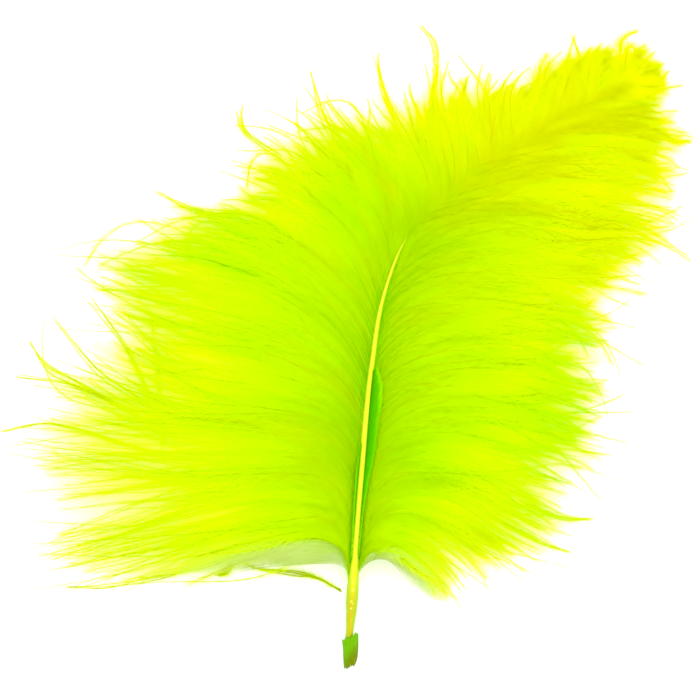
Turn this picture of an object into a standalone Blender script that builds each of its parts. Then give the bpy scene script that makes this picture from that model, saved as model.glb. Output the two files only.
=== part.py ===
"""A soft dyed turkey plume lying on a table: one quill with its down grown from both sides.

Frame: millimetres in the values below, metres in the scene. X runs to the right and Y towards
the feather's tip as the feather lies, +Z is up, and Z = 0 is the table. The origin is on the
table, under the middle of the feather's outline. Stations are distances along the shaft, from
the quill's cut end. The down is two arched webs, one over the other, each running from the tips
of the barbs on the left through the shaft to those on the right. Each web is ribbed with locks,
which part from each other towards the edge and end in points.
"""

import math
import random

import bmesh
import bpy
from mathutils import Vector
from mathutils.geometry import interpolate_bezier

MM = 0.001
LEFT, RIGHT = 1, -1

# The shaft's centreline: x, y, height, half width. The quill lies on the table at its cut end,
# in a scrap of dry sheath, the shaft rises over the down, and its thin end bends to the right.
SHAFT_LINE = [
    (-0.6, -60.2, 0.90, 1.15),
    (-0.2, -56.0, 1.05, 1.45),
    (0.1, -53.8, 0.85, 1.05),
    (0.4, -47.0, 1.90, 1.15),
    (1.1, -37.0, 4.30, 0.85),
    (2.5, -19.0, 7.20, 0.68),
    (4.0, -3.8, 8.40, 0.54),
    (6.5, 10.8, 8.60, 0.40),
    (10.5, 20.9, 8.20, 0.34),
    (21.3, 31.9, 7.40, 0.32),
    (38.9, 43.3, 6.20, 0.30),
    (55.1, 50.5, 5.00, 0.28),
]
SHAFT_STEPS = 3
SHAFT_SIDES = 8
SHAFT_FLATNESS = 0.9

# Where the barbs end, side by side along the shaft: the station of the root, the tip's x and y,
# and the heading of the tip in degrees from +X towards +Y.
LEFT_TIPS = [
    (15.5, -54.3, -41.3, 187),
    (19.0, -61.0, -37.7, 195),
    (23.0, -63.8, -26.8, 185),
    (28.0, -65.9, -16.2, 170),
    (33.0, -62.7, -5.7, 158),
    (38.0, -57.0, 5.7, 148),
    (44.0, -50.5, 9.6, 146),
    (50.0, -51.3, 14.3, 152),
    (56.0, -49.0, 20.0, 164),
    (63.0, -36.0, 27.0, 160),
    (70.0, -21.0, 35.5, 144),
    (77.0, -19.0, 44.5, 122),
    (84.0, -7.0, 52.5, 108),
    (91.0, 5.0, 55.5, 94),
    (98.0, 14.0, 59.0, 90),
    (106.0, 29.5, 53.0, 72),
    (114.0, 37.0, 52.0, 78),
    (122.0, 47.0, 59.0, 78),
    (133.0, 59.0, 58.0, 62),
]
RIGHT_TIPS = [
    (15.5, 18.0, -48.0, -68),
    (20.0, 30.0, -39.5, -38),
    (25.0, 46.4, -33.8, -20),
    (31.0, 47.8, -25.0, -10),
    (38.0, 51.5, -19.0, -16),
    (46.0, 51.5, -8.5, -12),
    (54.0, 51.5, -1.4, -10),
    (62.0, 55.0, 9.5, -18),
    (70.0, 57.0, 15.5, -16),
    (78.0, 63.5, 20.5, -14),
    (86.0, 65.0, 27.5, -10),
    (95.0, 64.8, 34.0, -4),
    (105.0, 63.0, 41.5, 8),
    (116.0, 60.5, 47.0, 22),
    (133.0, 62.0, 53.0, 40),
]

# A barb leaves nearly along the shaft and comes round to its tip's heading: the two handles of
# that curve, as shares of the straight distance from root to tip, and its angle to the shaft.
# Its course and the feather's edge are followed in so many small steps.
ROOT_HANDLE = 0.32
TIP_HANDLE = 0.42
ROOT_ANGLE = 28.0
COURSE_POINTS = 121
EDGE_STEPS = 200

# Height of the barbs' roots over the shaft's centre, by station: they leave the shaft's top bare
# up to where the down closes over it. From the root a web falls to the edge's height, at which
# the lower web lies on the table.
ROOT_LIFT = [(0.0, -1.05), (70.0, -1.05), (84.0, 0.2), (133.0, 0.1)]
EDGE_HEIGHT = 0.2

# The two webs: the stations of their first and last barbs, their locks on each side, the points
# from the shaft to a tip, how far their locks and the notches between them reach along the
# barbs, how steeply they fall near the shaft, how much higher they ride at the shaft, in the
# middle and at the tips, and their thickness from the shaft to the edge.
LOWER_WEB = {
    "stations": (15.5, 133.0),
    "locks": 26,
    "points": 7,
    "tip_reach": 1.0,
    "notch_reach": 0.70,
    "fall_power": 1.9,
    "root_rise": 0.0,
    "rise": 0.0,
    "lift": 0.0,
    "thickness": [1.5, 2.2, 2.9, 3.0, 2.8, 2.1, 0.5],
}
UPPER_WEB = {
    "stations": (24.0, 127.0),
    "locks": 12,
    "points": 6,
    "tip_reach": 0.80,
    "notch_reach": 0.46,
    "fall_power": 1.1,
    "root_rise": 0.8,
    "rise": 5.8,
    "lift": 0.6,
    "thickness": [0.9, 1.9, 2.5, 2.5, 1.9, 0.5],
}

# The rise in the middle goes as the sine over so much of a turn, from the shaft to the tips.
BOW_TURN = math.radians(135.0)

# Across a lock, from the groove before it: how much of its ridge each row has.
LOCK_SECTION = [0.0, 0.55, 1.0, 0.55]
RIDGE_HEIGHT = 0.7
GROOVE_THICKNESS = 0.5
REACH_SPREAD = 0.12
NOTCH_SPREAD = 0.09
SWING_SPREAD = 5.0
LOCK_SEED = 11

DYED_DOWN = (0.58, 0.95, 0.02, 1.0)
DOWN_ROUGHNESS = 0.7
SHARP_ANGLE = math.radians(70.0)


def clear_scene():
    """Empties the scene that the script is run in."""
    for found in list(bpy.data.objects):
        bpy.data.objects.remove(found)


def new_collection(name):
    """A collection linked to the scene."""
    made = bpy.data.collections.new(name)
    bpy.context.scene.collection.children.link(made)
    return made


def blend_point(a, b, c, d, t):
    """The value at t between b and c on the smooth curve through a, b, c and d."""
    return 0.5 * (
        2 * b + (c - a) * t + (2 * a - 5 * b + 4 * c - d) * t**2 + (3 * b - a - 3 * c + d) * t**3
    )


def smooth_line(points, steps):
    """Rows on a smooth curve through the given rows, with so many steps between two of them."""
    rows = [points[0], *points, points[-1]]
    line = []
    for four in zip(rows, rows[1:], rows[2:], rows[3:]):
        for step in range(steps):
            line.append(tuple(blend_point(*values, step / steps) for values in zip(*four)))
    return [*line, tuple(points[-1])]


def between(rows, key):
    """The row of numbers at a key in its first column, on straight lines between the rows."""
    if key <= rows[0][0]:
        return rows[0]
    for low, high in zip(rows, rows[1:]):
        if key <= high[0]:
            share = (key - low[0]) / (high[0] - low[0])
            return tuple(a + (b - a) * share for a, b in zip(low, high))
    return rows[-1]


def stations(line):
    """The line's rows, each with its distance along the line put before it."""
    rows, distance = [(0.0, *line[0])], 0.0
    for last, here in zip(line, line[1:]):
        distance += math.dist(last[:3], here[:3])
        rows.append((distance, *here))
    return rows


def spread_stations(first, end, count):
    """So many stations, spread so that the tips lie about evenly along the feather's edge."""
    rows = [(0.0, first)]
    for step in range(1, EDGE_STEPS + 1):
        last = rows[-1][1]
        here = first + (end - first) * step / EDGE_STEPS
        left = math.dist(between(LEFT_TIPS, last)[1:3], between(LEFT_TIPS, here)[1:3])
        right = math.dist(between(RIGHT_TIPS, last)[1:3], between(RIGHT_TIPS, here)[1:3])
        rows.append((rows[-1][0] + left + right + here - last, here))
    return [between(rows, rows[-1][0] * n / (count - 1))[1] for n in range(count)]


def flat_direction(angle):
    """The level direction at an angle from +X towards +Y."""
    return Vector((math.cos(angle), math.sin(angle), 0.0))


def barb_course(shaft, side, station, swing):
    """A barb seen from above, as points from its root in the shaft to its tip.

    The swing, in degrees, turns the tip's heading.
    """
    _, root_x, root_y, *_ = between(shaft, station)
    _, ahead_x, ahead_y, *_ = between(shaft, station + 1.0)
    _, tip_x, tip_y, heading = between(LEFT_TIPS if side == LEFT else RIGHT_TIPS, station)
    root, tip = Vector((root_x, root_y, 0.0)), Vector((tip_x, tip_y, 0.0))
    span = (tip - root).length
    leave = math.atan2(ahead_y - root_y, ahead_x - root_x) + side * math.radians(ROOT_ANGLE)
    arrive = math.radians(heading + swing)
    root_handle = root + flat_direction(leave) * span * ROOT_HANDLE
    tip_handle = tip - flat_direction(arrive) * span * TIP_HANDLE
    return interpolate_bezier(root, root_handle, tip_handle, tip, COURSE_POINTS)


def web_row(shaft, web, side, station, crest, lock):
    """One side's points of a web's row, from the shaft to the edge.

    The crest is 1 on a lock's ridge and 0 in the groove beside it, and the lock holds the
    reach, notch and swing that make it differ from its neighbours.
    """
    course = barb_course(shaft, side, station, lock["swing"] * crest)
    root_height = between(shaft, station)[3] + between(ROOT_LIFT, station)[1]
    tip, notch = web["tip_reach"] - lock["reach"], web["notch_reach"] + lock["notch"]
    reach = notch + (tip - notch) * crest
    points = []
    for step in range(web["points"]):
        part = step / (web["points"] - 1)
        share = reach * part
        spot = course[round(share * (COURSE_POINTS - 1))]
        height = EDGE_HEIGHT + (root_height - EDGE_HEIGHT) * (1 - share) ** web["fall_power"]
        height += web["root_rise"] + web["rise"] * math.sin(BOW_TURN * part)
        height += web["lift"] * part**3 + RIDGE_HEIGHT * crest * math.sin(math.pi * part)
        points.append(Vector((spot.x, spot.y, height)) * MM)
    return points


def random_lock(chance):
    """How one lock differs from its neighbours: its tip's and notch's reach, and its swing."""
    return {
        "reach": chance.uniform(0.0, REACH_SPREAD),
        "notch": chance.uniform(-NOTCH_SPREAD, NOTCH_SPREAD),
        "swing": chance.uniform(-SWING_SPREAD, SWING_SPREAD),
    }


def build_web(name, shaft, web, collection):
    """A ribbed web from the tips on the left to those on the right, extruded downwards."""
    chance = random.Random(f"{LOCK_SEED} {name}")
    rows_per_lock = len(LOCK_SECTION)
    rows = web["locks"] * rows_per_lock + 1
    locks = {side: [random_lock(chance) for _ in range(web["locks"] + 1)] for side in (LEFT, RIGHT)}
    shape = bmesh.new()
    depth = shape.verts.layers.float.new("depth")
    grid = []
    for row, station in enumerate(spread_stations(*web["stations"], rows)):
        crest = LOCK_SECTION[row % rows_per_lock]
        left, right = (
            web_row(shaft, web, side, station, crest, locks[side][row // rows_per_lock])
            for side in (LEFT, RIGHT)
        )
        ribbed = [part * (GROOVE_THICKNESS + (1 - GROOVE_THICKNESS) * crest) for part in web["thickness"]]
        corners = []
        for point, thickness in zip([*reversed(left), *right[1:]], [*reversed(ribbed), *ribbed[1:]]):
            corner = shape.verts.new(point + Vector((0.0, 0.0, 0.5 * thickness * MM)))
            corner[depth] = thickness * MM
            corners.append(corner)
        grid.append(corners)
    for row, ahead in zip(grid, grid[1:]):
        for here, beside, across, over in zip(row, row[1:], ahead[1:], ahead):
            shape.faces.new((here, beside, across, over))
    under = bmesh.ops.extrude_face_region(shape, geom=[*shape.faces])["geom"]
    for corner in [found for found in under if isinstance(found, bmesh.types.BMVert)]:
        corner.co.z -= corner[depth]
    bmesh.ops.recalc_face_normals(shape, faces=shape.faces)
    bmesh.ops.triangulate(shape, faces=shape.faces)
    mesh = bpy.data.meshes.new(name)
    shape.to_mesh(mesh)
    shape.free()
    collection.objects.link(bpy.data.objects.new(name, mesh))


def mesh_of(target):
    """The mesh of an object as its modifiers leave it."""
    graph = bpy.context.evaluated_depsgraph_get()
    return bpy.data.meshes.new_from_object(target.evaluated_get(graph))


def build_shaft(line, helpers, collection):
    """The quill and shaft as one closed tube, a curve swept with a ring and made a mesh."""
    profile = bpy.data.curves.new("shaft_ring", "CURVE")
    profile.dimensions = "2D"
    spline = profile.splines.new("POLY")
    spline.points.add(SHAFT_SIDES - 1)
    for side, spot in enumerate(spline.points):
        turn = 2 * math.pi * (side + 0.5) / SHAFT_SIDES
        spot.co = (MM * math.cos(turn), MM * SHAFT_FLATNESS * math.sin(turn), 0.0, 1.0)
    spline.use_cyclic_u = True
    ring = bpy.data.objects.new("shaft_ring", profile)
    helpers.objects.link(ring)
    data = bpy.data.curves.new("shaft_line", "CURVE")
    data.dimensions = "3D"
    data.twist_mode = "Z_UP"
    data.bevel_mode = "OBJECT"
    data.bevel_object = ring
    data.use_fill_caps = True
    spline = data.splines.new("POLY")
    spline.points.add(len(line) - 1)
    for spot, (x, y, z, half_width) in zip(spline.points, line):
        spot.co = (x * MM, y * MM, z * MM, 1.0)
        spot.radius = half_width
    guide = bpy.data.objects.new("shaft_line", data)
    helpers.objects.link(guide)
    mesh = mesh_of(guide)
    bpy.data.objects.remove(guide)
    shape = bmesh.new()
    shape.from_mesh(mesh)
    bmesh.ops.remove_doubles(shape, verts=shape.verts, dist=1e-6)
    bmesh.ops.recalc_face_normals(shape, faces=shape.faces)
    bmesh.ops.triangulate(shape, faces=shape.faces)
    shape.to_mesh(mesh)
    shape.free()
    made = bpy.data.objects.new("feather", mesh)
    collection.objects.link(made)
    return made


def join(target, collection):
    """Joins target with everything in a collection, in one mesh of its own."""
    union = target.modifiers.new("join", "BOOLEAN")
    union.operation = "UNION"
    union.operand_type = "COLLECTION"
    union.collection = collection
    union.solver = "EXACT"
    mesh = mesh_of(target)
    target.modifiers.clear()
    target.data = mesh


def lay_on_table(target):
    """Centres target's outline on the origin, and presses flat what would reach under the table."""
    corners = target.data.vertices
    across, along = [corner.co.x for corner in corners], [corner.co.y for corner in corners]
    middle_x, middle_y = (0.5 * (min(values) + max(values)) for values in (across, along))
    for corner in corners:
        corner.co = (corner.co.x - middle_x, corner.co.y - middle_y, max(corner.co.z, 0.0))


def finish(target):
    """Gives target its dyed down's material, and shades it smooth."""
    made = bpy.data.materials.new("dyed_down")
    made.use_nodes = True
    shader = made.node_tree.nodes["Principled BSDF"]
    shader.inputs["Base Color"].default_value = DYED_DOWN
    shader.inputs["Roughness"].default_value = DOWN_ROUGHNESS
    shader.inputs["Metallic"].default_value = 0.0
    target.data.materials.clear()
    target.data.materials.append(made)
    target.data.shade_smooth()
    target.data.set_sharp_from_angle(angle=SHARP_ANGLE)


def main():
    """Builds the shaft, joins the two webs with it, and lays it on the table."""
    clear_scene()
    plume = new_collection("turkey_plume")
    down = new_collection("down")
    helpers = new_collection("helpers")
    line = smooth_line(SHAFT_LINE, SHAFT_STEPS)
    shaft = stations(line)
    feather = build_shaft(line, helpers, plume)
    build_web("lower_web", shaft, LOWER_WEB, down)
    build_web("upper_web", shaft, UPPER_WEB, down)
    join(feather, down)
    lay_on_table(feather)
    finish(feather)
    for found in [*down.objects, *helpers.objects]:
        found.hide_render = True
        found.display_type = "WIRE"


main()
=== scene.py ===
"""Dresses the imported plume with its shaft, torn sheath, single barbs and the down on them.

Lengths are in millimetres until a mesh is made. They are measured on a plan of the plume: X to the right,
Y towards the tip and Z up from the table, with the plan's middle at PLAN_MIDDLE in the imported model's frame.
A station is a distance along the shaft from the quill's cut end. Angles are in degrees.
"""

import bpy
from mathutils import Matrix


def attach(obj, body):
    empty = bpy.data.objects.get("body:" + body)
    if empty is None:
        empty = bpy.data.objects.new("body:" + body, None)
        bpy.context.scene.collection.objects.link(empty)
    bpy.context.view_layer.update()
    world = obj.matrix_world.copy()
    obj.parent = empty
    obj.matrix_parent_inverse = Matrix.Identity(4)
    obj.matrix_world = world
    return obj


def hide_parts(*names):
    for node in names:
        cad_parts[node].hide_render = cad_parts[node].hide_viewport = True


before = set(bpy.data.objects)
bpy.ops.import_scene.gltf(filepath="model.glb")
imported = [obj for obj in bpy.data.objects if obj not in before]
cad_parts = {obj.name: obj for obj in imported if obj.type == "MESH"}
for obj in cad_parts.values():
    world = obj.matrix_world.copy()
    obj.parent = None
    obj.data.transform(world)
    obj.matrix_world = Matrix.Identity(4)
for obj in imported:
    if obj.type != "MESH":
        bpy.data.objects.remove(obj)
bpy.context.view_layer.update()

import logging
import math
from dataclasses import dataclass, field
from enum import Enum

import bpy
import numpy as np

Array = np.ndarray
Colour = tuple[float, float, float]

LOG = logging.getLogger("plume")
MM = 0.001
PLAN_MIDDLE = np.array([-0.348, 0.923, 0.0])
NODE = "feather"
UV_NAME = "OFBake"
UP = np.array([0.0, 0.0, 1.0])


class Side(Enum):
    """The side of the shaft that a barb grows on, as the sign of its turn from the shaft's heading."""

    LEFT = 1
    RIGHT = -1

    @property
    def word(self) -> str:
        """The side's name in small letters, for names of pieces."""
        return self.name.lower()


class Slot(Enum):
    """The record's material slots."""

    DOWN = "down"
    QUILL = "quill"


# Geometry


def smooth_curve(knots: Array, values: Array, at: Array) -> Array:
    """Values on a smooth curve through rows of values.

    Each stretch between two knots is a cubic that has the knots' values and slopes at its ends. A knot's
    slope is the one between its neighbours.

    Args:
        knots: The rows' places, rising.
        values: One row of numbers to a knot.
        at: The places to work out, of any shape.

    Returns:
        One row of numbers to each place.
    """
    slopes = np.gradient(values, knots, axis=0)
    piece = np.clip(np.searchsorted(knots, at, side="right") - 1, 0, len(knots) - 2)
    gap = (knots[piece + 1] - knots[piece])[..., None]
    share = (np.asarray(at) - knots[piece])[..., None] / gap
    rise = share * share * (3.0 - 2.0 * share)
    out_slope = share * (1.0 - share) ** 2 * gap
    in_slope = -share * share * (1.0 - share) * gap
    ends = values[piece] * (1.0 - rise) + values[piece + 1] * rise
    return ends + slopes[piece] * out_slope + slopes[piece + 1] * in_slope


def smooth_step(low: float, high: float, at: Array) -> Array:
    """A smooth rise from 0 at low to 1 at high: three parts of the square less two of the cube."""
    share = np.clip((at - low) / (high - low), 0.0, 1.0)
    return share * share * (3.0 - 2.0 * share)


def level_direction(degrees: Array) -> Array:
    """Level unit vectors at these angles from X."""
    turn = np.radians(degrees)
    return np.stack([np.cos(turn), np.sin(turn), np.zeros_like(turn)], axis=-1)


def unit(vectors: Array) -> Array:
    """The vectors made one long."""
    return vectors / np.maximum(np.linalg.norm(vectors, axis=-1, keepdims=True), 1e-9)


def pull_curve(root: Array, leave: Array, arrive: Array, tip: Array, share: Array) -> Array:
    """Points on curves that leave a root and arrive at a tip as two handles pull them.

    A point is the sum of the four by the cubic weights: the root by (1 - t) cubed, the first handle by
    3 t (1 - t) squared, the second by 3 t squared (1 - t) and the tip by t cubed.

    Args:
        root: First points, one row to a curve.
        leave: Handles of the roots.
        arrive: Handles of the tips.
        tip: Last points.
        share: How far along each curve its points are, one row to a curve.

    Returns:
        The points, as curves by points by three.
    """
    t = share[..., None]
    s = 1.0 - t
    return (
        root[:, None] * s**3
        + leave[:, None] * (3.0 * t * s * s)
        + arrive[:, None] * (3.0 * t * t * s)
        + tip[:, None] * t**3
    )


def along_rows(rows: Array, at: Array) -> Array:
    """Rows of points read at places between their points.

    Args:
        rows: Curves by points by numbers.
        at: Curves by places, each from 0 at a curve's first point to 1 at its last.

    Returns:
        Curves by places by numbers, on the straight line between the two nearest points.
    """
    place = np.clip(at, 0.0, 1.0) * (rows.shape[1] - 1)
    first = np.minimum(place.astype(int), rows.shape[1] - 2)
    share = (place - first)[..., None]
    curve = np.arange(len(rows))[:, None]
    return rows[curve, first] * (1.0 - share) + rows[curve, first + 1] * share


def grid_faces(rows: int, columns: int, closed: bool) -> Array:
    """Four-cornered faces between the points of a grid, numbered row by row.

    Args:
        rows: The grid's rows.
        columns: The points in a row.
        closed: Whether the last column joins the first.

    Returns:
        One row of four point numbers to a face.
    """
    row, column = np.meshgrid(np.arange(rows - 1), np.arange(columns - (not closed)), indexing="ij")
    after = (column + 1) % columns
    first, second = row * columns + column, row * columns + after
    return np.stack([first, second, second + columns, first + columns], axis=-1).reshape(-1, 4)


def tube_points(points: Array, radius: Array, sides: int, flat: float = 1.0) -> Array:
    """Rings round curves: a level sideways vector by the cosine and an upward one by the sine.

    Args:
        points: Curves by points by three.
        radius: Curves by points.
        sides: Points in a ring.
        flat: The rings' height as a share of their width.

    Returns:
        Curves by points by ring points by three.
    """
    heading = unit(np.gradient(points, axis=1))
    across = unit(np.cross(heading, UP))
    upward = np.cross(across, heading)
    turn = np.linspace(0.0, 2.0 * np.pi, sides, endpoint=False) + np.pi / 2.0
    ring = across[:, :, None] * np.cos(turn)[:, None] + upward[:, :, None] * (flat * np.sin(turn)[:, None])
    return points[:, :, None] + ring * radius[:, :, None, None]


@dataclass
class Mesh:
    """Points, faces and pattern coordinates of a piece, before they go into Blender."""

    points: Array
    faces: list[Array]
    pattern: list[Array]

    def put(self, name: str, finish: bpy.types.Material, slot: Slot, fluffy: float = 0.0) -> bpy.types.Object:
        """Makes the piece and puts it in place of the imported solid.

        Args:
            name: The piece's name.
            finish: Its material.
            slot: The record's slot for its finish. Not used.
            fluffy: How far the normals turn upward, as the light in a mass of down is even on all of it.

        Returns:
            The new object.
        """
        mesh = bpy.data.meshes.new(name)
        corners = np.concatenate([face.ravel() for face in self.faces]).astype(np.int32)
        sizes = np.concatenate([np.full(len(face), face.shape[1]) for face in self.faces])
        mesh.vertices.add(len(self.points))
        mesh.loops.add(len(corners))
        mesh.polygons.add(len(sizes))
        mesh.vertices.foreach_set("co", ((self.points + PLAN_MIDDLE) * MM).astype(np.float32).ravel())
        mesh.loops.foreach_set("vertex_index", corners)
        mesh.polygons.foreach_set("loop_start", (np.cumsum(sizes) - sizes).astype(np.int32))
        mesh.polygons.foreach_set("use_smooth", np.ones(len(sizes), dtype=bool))
        flat = np.concatenate([part.reshape(-1, 2) for part in self.pattern]).astype(np.float32)
        mesh.uv_layers.new(name=UV_NAME).data.foreach_set("uv", flat.ravel())
        mesh.update(calc_edges=True)
        if fluffy:
            normals = np.empty(len(self.points) * 3, dtype=np.float32)
            mesh.vertices.foreach_get("normal", normals)
            normals = normals.reshape(-1, 3)
            upward = np.where(normals[:, 2:] < 0.0, -1.0, 1.0) * UP
            mesh.normals_split_custom_set_from_vertices(unit(normals * (1.0 - fluffy) + upward * fluffy))
        mesh.materials.append(finish)
        piece = bpy.data.objects.new(name, mesh)
        bpy.context.scene.collection.objects.link(piece)
        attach(piece, "root")
        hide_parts(NODE)
        LOG.info("%s: %d faces", name, len(sizes))
        return piece


def tube_mesh(rings: Array) -> Mesh:
    """Closed tubes from rings, each with a flat end at both ends.

    The pattern runs along a tube in its first number. The second gives each tube its own band, and the
    place round it within the band.

    Args:
        rings: Tubes by rings by ring points by three.

    Returns:
        One mesh with all the tubes.
    """
    count, rows, sides = rings.shape[:3]
    start = (np.arange(count) * rows * sides)[:, None, None]
    wall = start + grid_faces(rows, sides, closed=True)
    ends = start + np.stack([np.arange(sides)[::-1], (rows - 1) * sides + np.arange(sides)])
    row = (wall - start) // sides / (rows - 1)
    column = ((wall - start) % sides).astype(float)
    column[..., 1:3][column[..., 1:3] == 0.0] = sides
    band = (np.arange(count)[:, None, None] + 0.05 + 0.9 * column / sides) / count
    end_row = np.broadcast_to((ends - start) // sides / (rows - 1), ends.shape)
    end_band = np.broadcast_to((np.arange(count)[:, None, None] + 0.5) / count, ends.shape)
    return Mesh(
        rings.reshape(-1, 3),
        [wall.reshape(-1, 4), ends.reshape(-1, sides)],
        [np.stack([row, band], axis=-1), np.stack([end_row, end_band], axis=-1)],
    )


# Shader graphs


class Value:
    """A number's socket that sums can be done on: each one adds its Math node."""

    def __init__(self, graph: "Graph", socket: bpy.types.NodeSocket) -> None:
        """Keeps the socket and the graph that it is in."""
        self.graph = graph
        self.socket = socket

    def _math(self, operation: str, first: "Value | float", second: "Value | float") -> "Value":
        """A Math node of that operation on two values."""
        return self.graph.add("ShaderNodeMath", {"operation": operation}, {0: first, 1: second})

    def __add__(self, other: "Value | float") -> "Value":
        """This value plus another."""
        return self._math("ADD", self, other)

    __radd__ = __add__

    def __mul__(self, other: "Value | float") -> "Value":
        """This value times another."""
        return self._math("MULTIPLY", self, other)

    __rmul__ = __mul__

    def __sub__(self, other: "Value | float") -> "Value":
        """This value less another."""
        return self._math("SUBTRACT", self, other)

    def __rsub__(self, other: float) -> "Value":
        """A number less this value."""
        return self._math("SUBTRACT", other, self)

    def __pow__(self, power: float) -> "Value":
        """This value to a power."""
        return self._math("POWER", self, power)

    def floor(self) -> "Value":
        """The whole number below this value."""
        return self._math("FLOOR", self, 0.0)


class Graph:
    """A new material and the nodes in it."""

    def __init__(self, name: str) -> None:
        """Starts an empty material.

        Args:
            name: Its name.
        """
        self.material = bpy.data.materials.new(name)
        self.material.use_nodes = True
        self.tree = self.material.node_tree
        self.tree.nodes.clear()

    def add(
        self, kind: str, settings: dict | None = None, inputs: dict | None = None, output: int | str = 0
    ) -> Value:
        """Adds any node.

        Args:
            kind: The node's type.
            settings: What is set on the node first. A list under "stops" holds a ramp's places and colours.
            inputs: Values, or sockets to link, by the input's number or identifier.
            output: The number or identifier of the output to give back.

        Returns:
            That output.
        """
        node = self.tree.nodes.new(kind)
        for key, setting in (settings or {}).items():
            if key == "stops":
                self._set_stops(node.color_ramp, setting)
            else:
                setattr(node, key, setting)
        for key, given in (inputs or {}).items():
            socket = self._socket(node.inputs, key)
            if isinstance(given, Value):
                self.tree.links.new(given.socket, socket)
            else:
                socket.default_value = given
        return Value(self, self._socket(node.outputs, output))

    @staticmethod
    def _socket(sockets: bpy.types.bpy_prop_collection, key: int | str) -> bpy.types.NodeSocket:
        """The socket with that number or identifier."""
        return sockets[key] if isinstance(key, int) else next(s for s in sockets if s.identifier == key)

    @staticmethod
    def _set_stops(ramp: bpy.types.ColorRamp, stops: list[tuple[float, Colour]]) -> None:
        """Gives a ramp its places and colours.

        Args:
            ramp: The ramp.
            stops: Each stop's place, from 0 to 1, and its colour.
        """
        while len(ramp.elements) < len(stops):
            ramp.elements.new(1.0)
        for element, (place, colour) in zip(ramp.elements, stops):
            element.position = place
            element.color = (*colour, 1.0)

    def mix(self, share: Value | float, first: Value | Colour, second: Value | Colour) -> Value:
        """Mixes two colours.

        Args:
            share: How much of the second there is, from 0 to 1.
            first: The first colour.
            second: The second colour.

        Returns:
            The colour between them.
        """
        colours = [c if isinstance(c, Value) else (*c, 1.0) for c in (first, second)]
        inputs = {"Factor_Float": share, "A_Color": colours[0], "B_Color": colours[1]}
        return self.add("ShaderNodeMix", {"data_type": "RGBA"}, inputs, "Result_Color")

    def between(self, value: Value, low: float, high: float) -> Value:
        """A smooth rise from 0 where the value is low to 1 where it is high."""
        settings = {"interpolation_type": "SMOOTHSTEP"}
        return self.add("ShaderNodeMapRange", settings, {"Value": value, "From Min": low, "From Max": high})

    def place(self) -> Value:
        """The point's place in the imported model's frame, in metres."""
        return self.add("ShaderNodeTexCoord", output="Object")

    def pattern(self) -> tuple[Value, Value]:
        """Reads the piece's own pattern coordinates.

        Returns:
            How far along the piece the shaded place is, and how far across.
        """
        uv = self.add("ShaderNodeUVMap", {"uv_map": UV_NAME})
        split = self.add("ShaderNodeSeparateXYZ", inputs={0: uv})
        return split, Value(self, split.socket.node.outputs[1])

    def way(self, direction: Colour) -> Value:
        """How far, in metres, the shaded place lies along a direction from the origin."""
        inputs = {0: self.place(), 1: direction}
        return self.add("ShaderNodeVectorMath", {"operation": "DOT_PRODUCT"}, inputs, "Value")

    def vector(self, x: Value | float, y: Value | float, z: Value | float = 0.0) -> Value:
        """A vector of three values."""
        return self.add("ShaderNodeCombineXYZ", inputs={0: x, 1: y, 2: z})

    def noise(self, where: Value, scale: float, detail: float = 3.0) -> Value:
        """A soft noise about one half, at a scale in turns to a unit."""
        return self.add("ShaderNodeTexNoise", inputs={"Vector": where, "Scale": scale, "Detail": detail})

    def bump(self, height: Value, strength: float, depth: float) -> Value:
        """A normal bent by a height, in metres of depth."""
        return self.add("ShaderNodeBump", inputs={"Height": height, "Strength": strength, "Distance": depth})

    def finish(self, surface: Value) -> bpy.types.Material:
        """Links the surface to the output.

        Args:
            surface: The finished shader.

        Returns:
            The material.
        """
        end = self.tree.nodes.new("ShaderNodeOutputMaterial")
        self.tree.links.new(surface.socket, end.inputs["Surface"])
        return self.material


@dataclass(frozen=True)
class DyedDown:
    """Dyed barbs and down: thin, soft and half lit through, greener by the shaft and yellower at the tips.

    Attributes:
        name: The material's name.
        root: The colour at a barb's root.
        middle: The colour halfway.
        tip: The colour at its tip.
        bands: How many barbs share the pattern, for streaks that follow them.
        glow: The share of the light that comes through.
        fresh: The colour of the greener patches.
        warm: The colour of the yellower streaks, and of the plume's upper right.
        warm_way: The way in which the plume grows yellower.
        warm_from: How far that way it starts and ends, in metres.
    """

    name: str
    root: Colour
    middle: Colour
    tip: Colour
    bands: int
    glow: float = 0.66
    fresh: Colour = (0.63, 0.985, 0.0)
    warm: Colour = (0.95, 0.985, 0.0)
    warm_way: Colour = (0.5, 0.86, 0.0)
    warm_from: tuple[float, float] = (0.01, 0.06)

    def material(self) -> bpy.types.Material:
        """Makes the finish's material.

        Returns:
            The material.
        """
        graph = Graph(self.name)
        along, across = graph.pattern()
        colour = graph.mix(graph.between(along, 0.02, 0.40), self.root, self.middle)
        colour = graph.mix(graph.between(along, 0.45, 0.95), colour, self.tip)
        patches = graph.noise(graph.place(), 34.0, 0.0)
        colour = graph.mix(graph.between(patches, 0.50, 0.72) * 0.55, colour, self.fresh)
        streak = graph.noise(graph.vector(along * 2.0, (across * self.bands).floor() * 3.7), 1.0, 0.0)
        far_up = graph.between(graph.way(self.warm_way), *self.warm_from)
        warmth = graph.between(streak, 0.48, 0.72) * 0.4 + far_up * 0.9
        colour = graph.mix(warmth, colour, self.warm)
        inputs = {"Base Color": colour, "Roughness": 0.8, "Specular IOR Level": 0.0}
        principled = graph.add("ShaderNodeBsdfPrincipled", inputs=inputs)
        through = graph.add("ShaderNodeBsdfTranslucent", inputs={"Color": colour})
        shares = {0: self.glow, 1: principled, 2: through}
        return graph.finish(graph.add("ShaderNodeMixShader", inputs=shares))


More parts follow.
